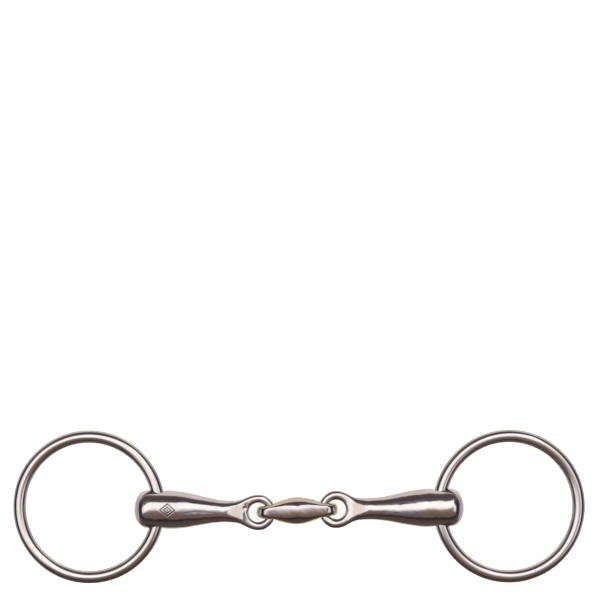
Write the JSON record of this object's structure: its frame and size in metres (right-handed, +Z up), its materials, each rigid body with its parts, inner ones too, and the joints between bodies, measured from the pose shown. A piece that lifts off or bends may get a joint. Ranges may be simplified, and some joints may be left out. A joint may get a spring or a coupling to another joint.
{
  "type": "snaffle bit",
  "caption": "Loose-ring snaffle bit for a bridle: round rings run through the outer ends of a jointed mouthpiece, whose tapered arms meet at a small lozenge link.",
  "frame": {"origin": "on the surface that the bit lies on, under the middle of its bounding box", "axes": "+X along the mouthpiece to the right ring, +Y across it in the plane that the bit lies in, +Z up from the surface"},
  "size_m": [0.273, 0.0734, 0.0186],
  "materials": {
    "ring_steel": "mirror-polished stainless steel with fine handling scratches",
    "cannon_steel": "mirror-polished stainless steel, soft waviness from hand polishing",
    "link_alloy": "polished steel, slightly warmer and softer than the arms"
  },
  "bodies": {
    "centre_link": {"centre_link": "link_alloy"},
    "left_cannon": {"left_cannon": "cannon_steel"},
    "right_cannon": {"right_cannon": "cannon_steel"},
    "left_ring": {"left_ring": "ring_steel"},
    "right_ring": {"right_ring": "ring_steel"}
  },
  "joints": [
    {"name": "left_cannon_fold", "type": "hinge", "parent": "centre_link", "child": "left_cannon", "pos_m": [-0.0195, -0.00271, 0.00782], "axis": [0, 0, -1], "range_deg": [-60, 60]},
    {"name": "right_cannon_fold", "type": "hinge", "parent": "centre_link", "child": "right_cannon", "pos_m": [0.0177, -0.00127, 0.00776], "axis": [0, 0, 1], "range_deg": [-60, 60]},
    {"name": "left_ring_swing", "type": "hinge", "parent": "left_cannon", "child": "left_ring", "pos_m": [-0.06745, -0.0012, 0.00928], "axis": [0.0314, 0.9995, 0], "range_deg": [0, 120]},
    {"name": "right_ring_swing", "type": "hinge", "parent": "right_cannon", "child": "right_ring", "pos_m": [0.06747, -0.0004, 0.00928], "axis": [0.0175, -0.9998, 0], "range_deg": [0, 120]}
  ]
}
